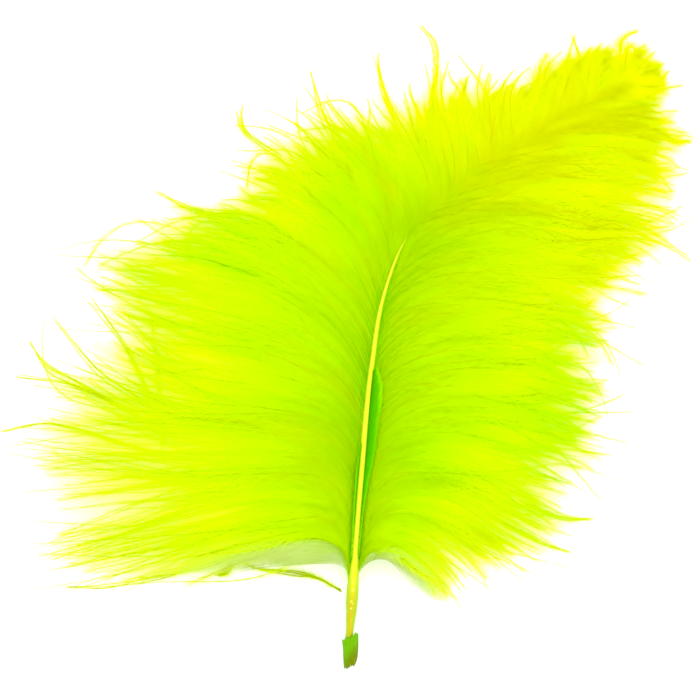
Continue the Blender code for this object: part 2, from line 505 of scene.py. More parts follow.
@dataclass(frozen=True)
class DownHaze:
    """Down too fine to make blade by blade: a pale haze with fine streaks that thins out to the tips.

    It covers the outer half of a barb's length, and nearly all of it in the lowest tufts, where it is
    greyer: a thin veil of down with the plume's shadow on the table painted into it. Its streaks follow
    the barbs: broad ones for the locks and fine ones for single barbs.
    """

    name: str = "down_haze"
    inner: Colour = (0.54, 0.96, 0.0)
    outer: Colour = (0.66, 0.95, 0.0)
    # Painted shadow: the grey of the lowest tufts' veil, standing for the plume's shadow on the table.
    shade: Colour = (0.27, 0.35, 0.12)
    locks: float = 60.0
    barbs: float = 330.0

    def material(self) -> bpy.types.Material:
        """Makes the finish's material.

        Returns:
            The material.
        """
        graph = Graph(self.name)
        along, across = graph.pattern()
        colour = graph.mix(graph.between(along, 0.10, 0.75), self.inner, self.outer)
        patches = graph.noise(graph.place(), 90.0, 1.0)
        locks = graph.noise(graph.vector(along * 2.5, across * self.locks), 1.0, 1.0)
        barbs = graph.noise(graph.vector(along * 9.0, across * self.barbs), 1.0, 1.0)
        # The lowest tufts' veil is greyer and denser: painted shadow of the plume on the table, under thin
        # down.
        lowest = 1.0 - graph.between(across, 0.03, 0.08)
        colour = graph.mix(lowest * 0.8, colour, self.shade)
        reach = graph.between(along, 0.35, 0.75) + graph.between(along, 0.05, 0.30) * lowest
        cover = reach * (0.14 + 0.28 * patches + 0.55 * barbs * locks + 0.10 * lowest)
        thin = graph.between(along + locks * 0.40 + barbs * 0.10, 0.96, 1.36)
        inputs = {"Base Color": colour, "Roughness": 0.8, "Specular IOR Level": 0.0}
        inputs["Alpha"] = cover * (1.0 - thin)
        return graph.finish(graph.add("ShaderNodeBsdfPrincipled", inputs=inputs))


@dataclass(frozen=True)
class DyedHorn:
    """The shaft's dyed horn: yellow, and glassy and warmer at the bare quill.

    A painted highlight runs along its top and painted shade down its sides, and the quill has painted glints.
    """

    name: str = "dyed_horn"
    # edge is painted shade down the shaft's sides, and ridge is a painted highlight along its top.
    edge: Colour = (0.44, 0.62, 0.005)
    ridge: Colour = (0.74, 0.78, 0.02)
    quill: Colour = (0.52, 0.38, 0.0)
    quill_side: Colour = (0.32, 0.46, 0.0)
    fibre: Colour = (0.50, 0.70, 0.0)
    # Painted highlight: the colour of the pale glints on the bare quill.
    painted_glint: Colour = (0.95, 0.90, 0.25)

    def material(self) -> bpy.types.Material:
        """Makes the finish's material.

        Returns:
            The material.
        """
        graph = Graph(self.name)
        along, across = graph.pattern()
        place = graph.place()
        from_top = graph.add("ShaderNodeMath", {"operation": "ABSOLUTE"}, {0: across - 0.5})
        grain = graph.noise(graph.vector(along * 24.0, across * 22.0), 1.0)
        spots = graph.noise(place, 1100.0)
        # Painted highlight on the top of the round shaft, falling to painted shade at its sides.
        shaft = graph.mix(graph.between(from_top, 0.05, 0.20), self.ridge, self.edge)
        shaft = graph.mix(graph.between(grain, 0.52, 0.75) * 0.4, shaft, self.fibre)
        quill = graph.mix(graph.between(from_top + spots * 0.1, 0.10, 0.20), self.quill, self.quill_side)
        # Painted glints: pale spots of highlight near the top of the quill, where the light would reflect.
        painted_glints = graph.between(spots, 0.60, 0.66) * graph.between(0.2 - from_top, 0.1, 0.16)
        quill = graph.mix(painted_glints, quill, self.painted_glint)
        at_quill = 1.0 - graph.between(along, 0.075, 0.150)
        principled = graph.add(
            "ShaderNodeBsdfPrincipled",
            inputs={
                "Base Color": graph.mix(at_quill, shaft, quill),
                "Roughness": 0.45 - 0.20 * at_quill + 0.12 * grain,
                "Specular IOR Level": 0.12,
                "Normal": graph.bump(grain + spots * at_quill, 0.5, 0.00012),
                "Coat Weight": at_quill * 0.12,
                "Coat Roughness": 0.10,
            },
        )
        return graph.finish(principled)


@dataclass(frozen=True)
class DrySheath:
    """The dry scrap of sheath: dark green, olive and split along its length."""

    name: str = "dry_sheath"
    green: Colour = (0.12, 0.36, 0.0)
    olive: Colour = (0.13, 0.18, 0.0)
    pale: Colour = (0.26, 0.42, 0.0)

    def material(self) -> bpy.types.Material:
        """Makes the finish's material.

        Returns:
            The material.
        """
        graph = Graph(self.name)
        along, across = graph.pattern()
        creases = graph.noise(graph.vector(along * 1.6, across * 9.0), 2.0, 4.0)
        blotch = graph.noise(graph.place(), 420.0, 3.0)
        low = graph.between(1.0 - along + across * 0.7 + blotch * 0.5, 0.75, 1.55)
        colour = graph.mix(low, self.green, self.olive)
        colour = graph.mix(graph.between(creases, 0.52, 0.74) * 0.75, colour, self.pale)
        principled = graph.add(
            "ShaderNodeBsdfPrincipled",
            inputs={
                "Base Color": colour,
                "Roughness": 0.5 + 0.3 * blotch,
                "Specular IOR Level": 0.05,
                "Normal": graph.bump(creases, 0.8, 0.00025),
            },
        )
        return graph.finish(principled)


@dataclass(frozen=True)
class WhiteTable:
    """The white paper that the plume lies on."""

    name: str = "white_paper"
    white: Colour = (0.96, 0.96, 0.96)
    shade: Colour = (0.93, 0.93, 0.93)

    def material(self) -> bpy.types.Material:
        """Makes the finish's material.

        Returns:
            The material.
        """
        graph = Graph(self.name)
        grain = graph.noise(graph.place(), 900.0)
        inputs = {"Base Color": graph.mix(grain, self.white, self.shade), "Roughness": 0.9}
        return graph.finish(graph.add("ShaderNodeBsdfPrincipled", inputs=inputs))


# Sub-assemblies


@dataclass
class Shaft:
    """The quill and the shaft that grows out of it, as one tapering tube with a fine ridge on top.

    Attributes:
        line: Rows of x, y, z and half width, from the quill's cut end to the tip.
        rings: Rings along the tube.
        sides: Points in a ring.
        ridge_height: How much the radius grows at the ridge.
        ridge_width: The ridge's half width, as a turn from the top.
    """

    line: Array = field(
        default_factory=lambda: np.array(
            [
                (-0.5, -59.4, 0.62, 0.50),
                (-0.3, -56.0, 0.75, 0.58),
                (0.0, -52.6, 0.95, 0.76),
                (0.2, -50.4, 1.20, 0.95),
                (0.4, -47.0, 1.90, 1.16),
                (0.7, -43.0, 2.90, 0.98),
                (1.1, -37.0, 4.30, 0.82),
                (2.5, -19.0, 7.20, 0.66),
                (4.0, -3.8, 8.40, 0.53),
                (6.5, 10.8, 8.60, 0.40),
                (10.5, 20.9, 8.20, 0.33),
                (21.3, 31.9, 7.40, 0.29),
                (38.9, 43.3, 6.20, 0.22),
                (55.1, 50.5, 5.00, 0.12),
            ]
        )
    )
    rings: int = 240
    sides: int = 28
    ridge_height: float = 0.12
    ridge_width: float = 0.30

    def __post_init__(self) -> None:
        """Works out the line's stations: the sum of the straight steps between its rows."""
        steps = np.linalg.norm(np.diff(self.line[:, :2], axis=0), axis=1)
        self.stations = np.concatenate([[0.0], np.cumsum(steps)])

    def at(self, stations: Array) -> Array:
        """Place and half width at these stations, as rows of x, y, z and half width."""
        return smooth_curve(self.stations, self.line, stations)

    def heading(self, stations: Array) -> Array:
        """The shaft's level heading at these stations, as an angle from X."""
        step = self.at(stations + 0.5) - self.at(stations - 0.5)
        return np.degrees(np.arctan2(step[..., 1], step[..., 0]))

    def build(self, finish: bpy.types.Material) -> None:
        """Makes the shaft.

        A ring's radius is the half width, raised near its top by a bell of the angle from the top. Fine
        lumps on the bare quill are two slow waves, along and round it.

        Args:
            finish: Its material.
        """
        stations = np.linspace(0.0, self.stations[-1], self.rings)
        rows = self.at(stations)
        rings = tube_points(rows[None, :, :3], rows[None, :, 3], self.sides, 0.92)[0]
        turn = np.linspace(0.0, 2.0 * np.pi, self.sides, endpoint=False)
        from_top = np.minimum(turn, 2.0 * np.pi - turn)
        ridge = self.ridge_height * np.exp(-((from_top / self.ridge_width) ** 2))
        bare = 1.0 - smooth_step(9.0, 17.0, stations)
        lumps = 0.05 * bare[:, None] * np.sin(stations * 2.1)[:, None] * np.sin(3.0 * turn + 1.0)
        middle = rows[:, None, :3]
        grown = middle + (rings - middle) * (1.0 + ridge + lumps)[..., None]
        mesh = tube_mesh(grown[None])
        mesh.pattern = [np.mod(part + [0.0, 0.5], [1e9, 1.0]) for part in mesh.pattern]
        mesh.put("shaft", finish, Slot.QUILL)


@dataclass
class SheathScrap:
    """The torn scrap of dry sheath round the quill's cut end.

    Attributes:
        left_edge: Rows of x and y down its left edge.
        right_edge: The same for its right edge.
        rows: Points down it.
        columns: Points across it.
        base: Its edges' height.
        arch: How high it is arched over the quill.
        thickness: Its wall.
    """

    left_edge: Array = field(
        default_factory=lambda: np.array([(-1.55, -55.0), (-1.35, -56.6), (-1.30, -58.4), (-1.15, -60.5)])
    )
    right_edge: Array = field(
        default_factory=lambda: np.array([(1.60, -53.7), (1.60, -56.3), (1.45, -58.3), (1.15, -59.6)])
    )
    rows: int = 40
    columns: int = 26
    base: float = 0.35
    arch: float = 1.75
    thickness: float = 0.14

    def build(self, finish: bpy.types.Material) -> None:
        """Makes the scrap.

        Each row runs from the left edge to the right one. It is arched over the quill by one less the
        square of the place across, to a power that squares it off. Its ends are cut by a tear line that
        two waves across it bend, and creases along it are waves across its height.

        Args:
            finish: Its material.
        """
        down = np.linspace(0.0, 1.0, self.rows)
        across = np.linspace(0.0, 1.0, self.columns)
        knots = np.linspace(0.0, 1.0, len(self.left_edge))
        left = smooth_curve(knots, self.left_edge, down)[:, None]
        right = smooth_curve(knots, self.right_edge, down)[:, None]
        level = left + (right - left) * across[None, :, None]
        tear = 0.28 * np.sin(across * 9.0) * np.cos(across * 21.0 + 1.0)
        level[..., 1] += tear * (1.0 - 2.0 * down)[:, None]
        from_middle = 2.0 * across - 1.0
        crown = (1.0 - from_middle**2) ** 0.55
        crease = 0.05 * np.sin(across * 26.0)[None, :] * (0.4 + down)[:, None]
        height = self.base + self.arch * crown * (1.0 - 0.22 * down[:, None]) + crease
        points = np.concatenate([level, height[..., None]], axis=-1).reshape(-1, 3)
        faces = grid_faces(self.rows, self.columns, closed=False)[:, ::-1]
        uv = np.stack(np.meshgrid(1.0 - down, across, indexing="ij"), axis=-1).reshape(-1, 2)
        piece = Mesh(points, [faces], [uv[faces]]).put("sheath_scrap", finish, Slot.QUILL)
        wall = piece.modifiers.new("wall", "SOLIDIFY")
        wall.thickness, wall.offset = self.thickness * MM, -1.0


@dataclass(frozen=True)
class Layer:
    """How one layer of barbs on a side of the shaft lies and how its down stands.

    Attributes:
        name: The layer's name, for names of pieces.
        barbs: How many barbs it has.
        reach: Shortest and longest barb, as a share of the way to the tuft's tip.
        body: How much shorter its barbs are in thin tufts.
        rise: Lowest and highest bow of a barb.
        tip_height: Lowest and highest tip.
        clump: Least and most that a barb is drawn to its tuft's middle course.
        stray: The share of the barbs that go their own way.
        down_length: Length of the down.
        down_at_tip: Its length at a barb's tip, as a share of that.
        down_rows: Pairs of blades to a barb.
        seed: Where its chance starts.
    """

    name: str
    barbs: int
    reach: tuple[float, float]
    body: float
    rise: tuple[float, float]
    tip_height: tuple[float, float]
    clump: tuple[float, float]
    stray: float
    down_length: float
    down_at_tip: float
    down_rows: int
    seed: int


BARBS_IN_LAYER = 190
BLADE_PAIRS = 340
LAYERS = (
    Layer(
        "under", BARBS_IN_LAYER, (0.84, 1.06), 1.0, (1.4, 2.2), (0.3, 1.4), (0.00, 0.40), 0.12,
        5.4, 0.90, BLADE_PAIRS, 5,
    ),
    Layer(
        "middle", BARBS_IN_LAYER, (0.92, 1.08), 0.7, (2.0, 2.9), (0.8, 2.4), (0.20, 0.85), 0.24,
        5.0, 0.50, BLADE_PAIRS, 23,
    ),
    Layer(
        "over", BARBS_IN_LAYER, (0.89, 1.00), 0.15, (2.6, 3.6), (1.2, 3.6), (0.50, 0.98), 0.30,
        4.6, 0.26, BLADE_PAIRS, 41,
    ),
)


@dataclass
class Barbs:
    """Barbs worked out as arrays, with one row to a barb.

    Attributes:
        points: Each barb's course, as barbs by points by three.
        thickness: Radius at the root.
        down: Length of the down in the middle of the barb.
        bare: How far from the root the down stays short.
        tip_share: The down's length at the tip, as a share of that in the middle.
        down_width: A blade's width at its base.
        root_share: The down's length at the root, as a share of that in the middle.
        root_angle: A blade's angle from its barb at the root.
        angle_fall: How much smaller that angle is at the tip.
    """

    points: Array
    thickness: Array
    down: Array
    bare: Array
    tip_share: float = 0.30
    down_width: float = 0.062
    root_share: float = 0.12
    root_angle: float = 40.0
    angle_fall: float = 22.0

    def tubes(self) -> Mesh:
        """Makes the barbs' own tubes, with three sides.

        A tube's radius is the thickness times the sum of a fixed share and of the rest times the square
        root of the way left to the tip.

        Returns:
            One mesh with all the tubes.
        """
        share = np.linspace(0.0, 1.0, self.points.shape[1])
        radius = self.thickness[:, None] * (0.40 + 0.60 * np.sqrt(1.0 - share))
        return tube_mesh(tube_points(self.points, radius, 3))

    def barbules(self, rows: int, rng: np.random.Generator) -> Mesh:
        """The down on the barbs as fine bent blades, in pairs along each barb.

        A blade leaves its barb at an angle that falls towards the tip, tilted up or down by chance, and
        bends forward halfway. It is one three-sided face: its base is as wide as the blade, and its tip
        is where the two halves of its way end. Its length grows from the bare root by a smooth rise, and
        falls towards the tip by another.

        Args:
            rows: Pairs of blades to a barb.
            rng: Where chance comes from.

        Returns:
            One mesh with all the blades.
        """
        count = len(self.points)
        row = np.arange(rows)[None, :, None]
        share = ((row + rng.uniform(0.0, 1.0, (count, rows, 2))) / rows) ** 0.85
        shape = share.shape
        flat_share = share.reshape(count, -1)
        base = along_rows(self.points, flat_share)
        heading = unit(along_rows(np.gradient(self.points, axis=1), flat_share))
        steps = np.linalg.norm(np.diff(self.points, axis=1), axis=2).sum(axis=1)
        away = share * steps[:, None, None]
        out = unit(np.cross(UP, heading)) * np.tile([1.0, -1.0], rows)[None, :, None]
        growth = smooth_step(0.0, 1.0, away / self.bare[:, None, None])
        grown = self.root_share + (1.0 - self.root_share) * growth
        fall = 1.0 - (1.0 - self.tip_share) * smooth_step(0.45, 1.0, share)
        length = self.down[:, None, None] * grown * fall * rng.uniform(0.55, 1.15, shape)
        length = length.reshape(count, -1)
        angle = self.root_angle - self.angle_fall * share + rng.normal(0.0, 8.0, shape)
        angle = np.radians(angle.reshape(count, -1))
        tilt = np.radians(rng.normal(0.0, 16.0, shape)).reshape(count, -1)
        bend = np.radians(rng.normal(-14.0, 12.0, shape)).reshape(count, -1)
        first = self.blade_way(heading, out, angle, tilt)
        second = self.blade_way(heading, out, angle + bend, tilt * 0.4)
        half = 0.5 * length[..., None]
        middle = base + first * half
        tip = middle + second * half
        roll = UP + rng.normal(0.0, 0.30, base.shape)
        broad = 0.5 * self.down_width * rng.uniform(0.8, 1.25, length.shape)
        broad *= 1.0 - 0.35 * smooth_step(0.35, 0.9, flat_share)
        width = unit(np.cross(first, roll)) * broad[..., None]
        points = np.stack([base - width, base + width, tip], axis=2)
        points[..., 2] = np.maximum(points[..., 2], 0.03)
        number = np.arange(points.shape[0] * points.shape[1])[:, None] * 3
        place = (row / rows + np.zeros(shape)).reshape(-1, 1)
        half_band = 0.5 * np.tile([0.0, 1.0], count * rows)[:, None]
        band = np.repeat(np.arange(count), rows * 2)[:, None] + half_band
        spots = np.array([(0.0, 0.0), (0.9, 0.0), (0.45, 1.0)])
        across = (band + 0.05 + 0.4 * spots[:, 1]) / count
        pattern = np.stack([place + spots[:, 0] / rows, across], axis=-1)
        return Mesh(points.reshape(-1, 3), [number + np.arange(3)], [pattern])

    @staticmethod
    def blade_way(heading: Array, out: Array, turn: Array, lean: Array) -> Array:
        """The ways that blades go: along the barb by a turn's cosine, and outward by its sine.

        Args:
            heading: The barb's heading at each blade.
            out: The level way out from the barb.
            turn: The blade's angle from the heading.
            lean: How far outward is tipped up from level.

        Returns:
            A unit vector for each blade.
        """
        outward = out * np.cos(lean)[..., None] + UP * np.sin(lean)[..., None]
        return heading * np.cos(turn)[..., None] + outward * np.sin(turn)[..., None]


@dataclass
class DownVane:
    """One side of the plume: the barbs on it, drawn together into tufts at their tips.

    Attributes:
        side: The side of the shaft.
        shaft: The shaft that they grow on.
        tufts: A row to a tuft: station, the tip's x and y, its heading, and how dense the tuft is.
        course_points: Points on a barb's course.
        root_handle: How strongly a barb keeps its heading at the root, as a share of its span.
        tip_handle: The same for the tip, as rows of a station and a share.
        root_angle: The angle that a barb leaves the shaft at, as rows of a station and an angle.
        hover: How much higher the tips stand, as rows of a station and a factor.
        crossing: How far the upper barbs start on the shaft's other side, as rows of a station and a
            length. They hide the shaft there.
        bare: How far from the root the down stays short, as rows of a station and a length.
        sides: The furthest that a tip may reach to the left and right.
        edge_spread: How far a tip strays from its tuft's.
        barb_radius: Thinnest and thickest barb at the root.
        haze_columns: Columns in a sheet of haze.
        haze_sheets: Each sheet's name, bow, height at the tips, and reach as a share of the barbs'.
    """

    side: Side
    shaft: Shaft
    tufts: Array
    course_points: int = 22
    root_handle: float = 0.32
    tip_handle: tuple[tuple[float, float], ...] = ((15, 0.90), (22, 0.85), (30, 0.64), (46, 0.42))
    root_angle: tuple[tuple[float, float], ...] = ((15, 5), (22, 9), (35, 16), (60, 24), (133, 26))
    hover: tuple[tuple[float, float], ...] = ((15, 1.9), (30, 1.4), (45, 1.0))
    crossing: tuple[tuple[float, float], ...] = ((80, 0.0), (96, 1.8))
    bare: tuple[tuple[float, float], ...] = ((15, 16.0), (30, 12.0), (62, 8.0), (82, 0.8))
    sides: tuple[float, float] = (-65.5, 66.5)
    edge_spread: float = 1.6
    barb_radius: tuple[float, float] = (0.08, 0.13)
    haze_columns: int = 160
    haze_sheets: tuple[tuple[str, float, float, float], ...] = (
        ("low", 1.2, 0.6, 1.0),
        ("high", 4.6, 3.2, 0.95),
    )

    @staticmethod
    def by_station(station: Array, table: tuple[tuple[float, float], ...]) -> Array:
        """A table's value at each station, on the straight line between its rows."""
        return np.interp(station, *np.array(table).T)

    def courses(
        self, numbers: Array, reach: Array, turn: Array, shift: Array, rise: Array, tip_z: Array
    ) -> Array:
        """Courses of barbs that end between the tufts of these numbers.

        A barb leaves the shaft at the root angle of its station and arrives at its tip by the tip's
        heading. Its height goes from the root's to the tip's by a power of the share of its length,
        with a bow that is the sine of that share, to a power that squares it off up the shaft, times
        the rise. A barb that starts on the shaft's other side is lifted over it.

        Args:
            numbers: Which tuft each barb ends at, fractions lying between two.
            reach: The tip's distance from the root, as a share of the tuft's.
            turn: What is added to the tip's heading.
            shift: What is added to the tip's place, as rows of x and y.
            rise: The bow's height.
            tip_z: The tip's height.

        Returns:
            Barbs by points by three.
        """
        knots = np.arange(len(self.tufts), dtype=float)
        station, x, y, heading, _ = (np.interp(numbers, knots, column) for column in self.tufts.T)
        row = self.shaft.at(station)
        ahead = self.shaft.heading(station)
        leaving = ahead + self.side.value * self.by_station(station, self.root_angle)
        out = level_direction(ahead + 90.0 * self.side.value)
        crossing = self.by_station(station, self.crossing)[:, None] * (rise[:, None] > 1.2)
        root = row[:, :3] + out * (row[:, 3:] * 0.75 - crossing)
        tip = root.copy()
        tip[:, :2] += (np.stack([x, y], axis=1) - root[:, :2]) * reach[:, None] + shift
        tip[:, 0] = np.clip(tip[:, 0], *self.sides)
        span = np.linalg.norm(tip - root, axis=1, keepdims=True)
        leave = root + level_direction(leaving) * span * self.root_handle
        pull = self.by_station(station, self.tip_handle)[:, None]
        arrive = tip - level_direction(heading + turn) * span * pull
        share = np.tile(np.linspace(0.0, 1.0, self.course_points), (len(numbers), 1))
        points = pull_curve(root, leave, arrive, tip, share)
        fall = share**1.25
        hover = self.by_station(station, self.hover)
        points[..., 2] = row[:, 2:3] * (1.0 - fall) + (tip_z * hover)[:, None] * fall
        power = np.interp(station, [62.0, 84.0], [1.6, 0.7])[:, None]
        points[..., 2] += rise[:, None] * np.sin(np.pi * share**0.8) ** power
        points[..., 2] += 0.8 * crossing * (1.0 - share) ** 3
        return points

    def barbs(self, layer: Layer) -> Barbs:
        """The barbs of one layer.

        Each barb has a course of its own, and is drawn to its tuft's course by its clumping times a
        smooth rise over the last third of its length. Most end short of the tuft's tip, by chance. Slow
        waves across a barb are a sine of the share of its length. They grow smoothly from a third of it
        on, and are smaller on short barbs and on ones that are drawn to their tuft.

        Args:
            layer: The layer's settings.

        Returns:
            The barbs.
        """
        rng = np.random.default_rng(layer.seed + (100 if self.side is Side.RIGHT else 0))
        count = layer.barbs
        last = len(self.tufts) - 1
        number = 1.0 + (np.arange(count) + rng.uniform(0.0, 1.0, count)) / count * (last - 1.0)
        stray = rng.uniform(0.0, 1.0, count) < layer.stray
        dense = np.interp(number, np.arange(last + 1.0), self.tufts[:, 4])
        reach = rng.uniform(*layer.reach, count) * (1.0 - layer.body * (1.0 - dense))
        reach = np.minimum(reach, 1.0)
        turn = np.where(stray, rng.normal(0.0, 34.0, count), rng.normal(0.0, 13.0, count))
        turn *= np.interp(number, [1.0, 4.0, 8.0, last - 5.0, last], [0.1, 0.3, 1.0, 0.7, 0.3])
        shift = rng.normal(0.0, self.edge_spread, (count, 2)) * np.where(stray, 2.2, 1.0)[:, None]
        rise = rng.uniform(*layer.rise, count)
        tip_z = rng.uniform(*layer.tip_height, count)
        own_reach = np.minimum(reach * np.where(stray, 1.06, 1.0), 1.0)
        own = self.courses(number, own_reach, turn, shift, rise, tip_z)
        order = np.round(number * 3.0).astype(int)
        tuft_rng = np.random.default_rng(7 if self.side is Side.LEFT else 8)
        lesser = tuft_rng.uniform(0.84, 1.0, 3 * last + 1)[order]
        tuft_reach = np.where(order % 3 == 0, 1.0, lesser)
        tuft_turn = tuft_rng.normal(0.0, 9.0, 3 * last + 1)[order]
        shared = self.courses(order / 3.0, tuft_reach, tuft_turn, np.zeros((count, 2)), rise, tip_z)
        own_share = np.linspace(0.0, 1.0, self.course_points)[None, :] * reach[:, None]
        shared = along_rows(shared, own_share)
        draw = np.where(stray, 0.15, rng.uniform(*layer.clump, count))[:, None]
        draw = (draw * smooth_step(0.68, 1.0, own_share / reach[:, None]))[..., None]
        points = own * (1.0 - draw) + shared * draw
        share = np.linspace(0.0, 1.0, self.course_points)[None, :]
        heading = unit(np.gradient(points, axis=1))
        across = unit(np.cross(UP, heading))
        size = rng.uniform(0.6, 3.2, count)[:, None]
        turns = rng.uniform(0.5, 1.6, count)[:, None]
        start = rng.uniform(0.0, 6.3, count)[:, None]
        wave = size * np.sqrt(share) * np.sin(2.0 * np.pi * turns * share + start)
        span = np.linalg.norm(points[:, -1] - points[:, 0], axis=1)[:, None]
        wave *= np.minimum(span / 45.0, 1.0) ** 1.5
        wave *= smooth_step(0.30, 0.95, share) * (1.0 - 0.7 * draw[..., 0])
        points += across * wave[..., None]
        points[..., 2] = np.maximum(points[..., 2], 0.12)
        station = np.interp(number, np.arange(last + 1.0), self.tufts[:, 0])
        bare = self.by_station(station, self.bare)
        thickness = rng.uniform(*self.barb_radius, count)
        down = layer.down_length * rng.uniform(0.75, 1.15, count)
        return Barbs(points, thickness, down, bare, layer.down_at_tip)

    def haze(self, finish: bpy.types.Material, word: str, rise: float, tip: float, reach: float) -> None:
        """Makes a sheet of haze that follows the tufts' courses from the shaft to the tips.

        A column ends at its tuft's distance times the reach, and times a share that falls with the tuft's
        density and swings by a cosine from tuft to tuft. Its bow swings by a sine.

        Args:
            finish: Its material.
            word: The sheet's name.
            rise: The height of its bow.
            tip: Its height at the tips.
            reach: How far it goes, as a share of the barbs.
        """
        last = len(self.tufts) - 1
        number = np.linspace(0.0, last, self.haze_columns)
        same = np.ones(self.haze_columns)
        dense = np.interp(number, np.arange(last + 1.0), self.tufts[:, 4])
        ends = reach * (0.96 + 0.06 * np.cos(2.0 * np.pi * number)) * (0.45 + 0.6 * dense)
        swell = 0.7 + 0.3 * np.sin(number * 2.7)
        still = np.zeros((self.haze_columns, 2))
        points = self.courses(number, ends, same * 0.0, still, rise * swell, same * tip)
        faces = grid_faces(self.haze_columns, self.course_points, closed=False)
        along = np.linspace(0.0, 1.0, self.course_points)
        spots = np.broadcast_arrays(along[None, :], (number / last)[:, None])
        spots = np.stack(spots, axis=-1).reshape(-1, 2)
        mesh = Mesh(points.reshape(-1, 3), [faces], [spots[faces]])
        mesh.put(f"haze_{self.side.word}_{word}", finish, Slot.DOWN)

    def build(
        self, down: bpy.types.Material, barb: bpy.types.Material, haze: bpy.types.Material
    ) -> None:
        """Makes the side's haze, its barbs as one piece, and the down of each layer as another.

        Args:
            down: The down's material.
            barb: The barbs' material.
            haze: The haze's material.
        """
        word = self.side.word
        for sheet in self.haze_sheets:
            self.haze(haze, *sheet)
        layers = [self.barbs(layer) for layer in LAYERS]
        keys = ("points", "thickness", "down", "bare")
        whole = Barbs(*(np.concatenate([getattr(barbs, key) for barbs in layers]) for key in keys))
        whole.tubes().put(f"barbs_{word}", barb, Slot.DOWN, 0.8)
        for layer, barbs in zip(LAYERS, layers):
            rng = np.random.default_rng(layer.seed + 1000 + self.side.value)
            blades = barbs.barbules(layer.down_rows, rng)
            blades.put(f"down_{word}_{layer.name}", down, Slot.DOWN, 1.0)


LEFT_TUFTS = np.array(
    [
        # The first tuft carries only the haze. Its veil there is greyer with painted shadow.
        (14.5, -21.0, -41.0, 182, 0.90), (15.2, -29.0, -42.2, 203, 0.90),
        (15.6, -54.3, -42.0, 192, 0.95), (18, -61.0, -37.7, 197, 0.93), (22, -63.8, -26.8, 188, 0.90),
        (27, -65.9, -16.2, 173, 0.90), (32, -62.7, -5.7, 162, 0.86), (37, -57.0, 5.7, 145, 0.72),
        (42, -48.5, 8.6, 149, 0.84), (47, -51.3, 13.3, 162, 0.88), (53, -49.4, 20.0, 168, 0.90),
        (59, -38.0, 26.1, 169, 0.86), (65, -24.7, 29.0, 178, 0.90), (70, -20.7, 37.1, 160, 0.86),
        (75, -19.0, 45.1, 152, 0.64), (79, -10.9, 50.8, 131, 0.52), (83, -5.7, 51.8, 129, 0.48),
        (87, 5.2, 53.7, 103, 0.48), (91, 13.8, 59.4, 87, 0.44), (96, 21.4, 55.6, 74, 0.54),
        (101, 29.9, 52.3, 45, 0.66), (106, 35.6, 50.8, 30, 0.76), (112, 42.8, 58.1, 57, 0.72),
        (118, 48.5, 58.7, 54, 0.76), (125, 53.7, 56.2, 32, 0.80), (131, 58.9, 57.0, 30, 0.80),
    ]
)
RIGHT_TUFTS = np.array(
    [
        # The first tuft carries only the haze. Its veil there is greyer with painted shadow.
        (16, 8.5, -39.6, -55, 0.80), (17, 18.1, -48.5, -72, 0.80),
        (19, 29.5, -39.0, -37, 0.90), (22, 41.8, -39.1, -34, 0.80),
        (26, 46.4, -33.7, -25, 0.78), (31, 47.5, -25.2, -22, 0.78), (36, 51.8, -19.5, -18, 0.84),
        (41, 50.5, -13.3, -15, 0.86), (46, 51.8, -8.1, -19, 0.84), (51, 51.3, -1.4, -18, 0.84),
        (57, 52.4, 4.8, -16, 0.84), (63, 55.6, 10.5, -16, 0.84), (69, 56.8, 15.2, -18, 0.84),
        (75, 61.3, 18.5, -22, 0.84), (81, 64.8, 22.8, -20, 0.84), (87, 65.1, 28.0, -20, 0.84),
        (94, 65.1, 33.7, -17, 0.86), (101, 63.7, 38.0, -18, 0.88), (108, 61.3, 42.8, -13, 0.88),
        (116, 60.3, 47.0, -6, 0.86), (124, 60.3, 50.8, 0, 0.84), (131, 59.7, 54.6, 20, 0.80),
    ]
)


@dataclass
class BarbBases:
    """The bases of the barbs close by the shaft, packed side by side into a finely striped dark strip.

    Its dark green, darkest at the roots, is partly the bases' own colour and partly painted shade.

    Attributes:
        shaft: The shaft that they grow on.
        left: Rows of a station, a base's length and its angle from the shaft, on the left.
        right: The same for the right.
        spacing: The step between bases along the shaft.
        points: Points on a base.
        radius: A base's radius at its root.
        bend: How far a base turns forward along its length.
    """

    shaft: Shaft
    left: Array = field(
        default_factory=lambda: np.array(
            [(19, 2.5, 8), (23, 2.5, 12), (30, 1.8, 22), (36, 1.2, 30), (42, 0.5, 40)]
        )
    )
    right: Array = field(
        default_factory=lambda: np.array(
            [(20, 2.0, 8), (27, 2.2, 18), (33, 2.6, 34), (38, 3.1, 50), (51, 3.2, 58), (56, 1.0, 55)]
        )
    )
    spacing: float = 0.42
    points: int = 8
    radius: float = 0.165
    bend: float = -14.0

    def build(self, finish: bpy.types.Material) -> None:
        """Makes the strip on both sides.

        A base leaves the shaft's side at an angle and bends forward with the square of the way along
        it. Its station, length and angle follow the table of its side.

        Args:
            finish: Its material.
        """
        rng = np.random.default_rng(3)
        tubes = []
        for side, table in ((Side.LEFT, self.left), (Side.RIGHT, self.right)):
            station = np.arange(table[0, 0], table[-1, 0], self.spacing)
            length = np.interp(station, table[:, 0], table[:, 1]) * rng.uniform(0.85, 1.1, len(station))
            angle = np.interp(station, table[:, 0], table[:, 2])[:, None]
            row = self.shaft.at(station)
            ahead = self.shaft.heading(station)
            out = level_direction(ahead + 90.0 * side.value)
            share = np.linspace(0.0, 1.0, self.points)[None, :]
            turn = ahead[:, None] + side.value * (angle + self.bend * share**2)
            way = level_direction(turn) * (length[:, None] * share)[..., None]
            points = (row[:, :3] + out * row[:, 3:] * 0.8)[:, None] + way
            points[..., 2] += 0.35 + 0.9 * np.sin(2.2 * share)
            radius = self.radius * (1.0 - 0.4 * share) * np.ones_like(station)[:, None]
            tubes.append(tube_points(points, radius, 5, 0.7))
        tube_mesh(np.concatenate(tubes)).put("barb_bases", finish, Slot.DOWN)


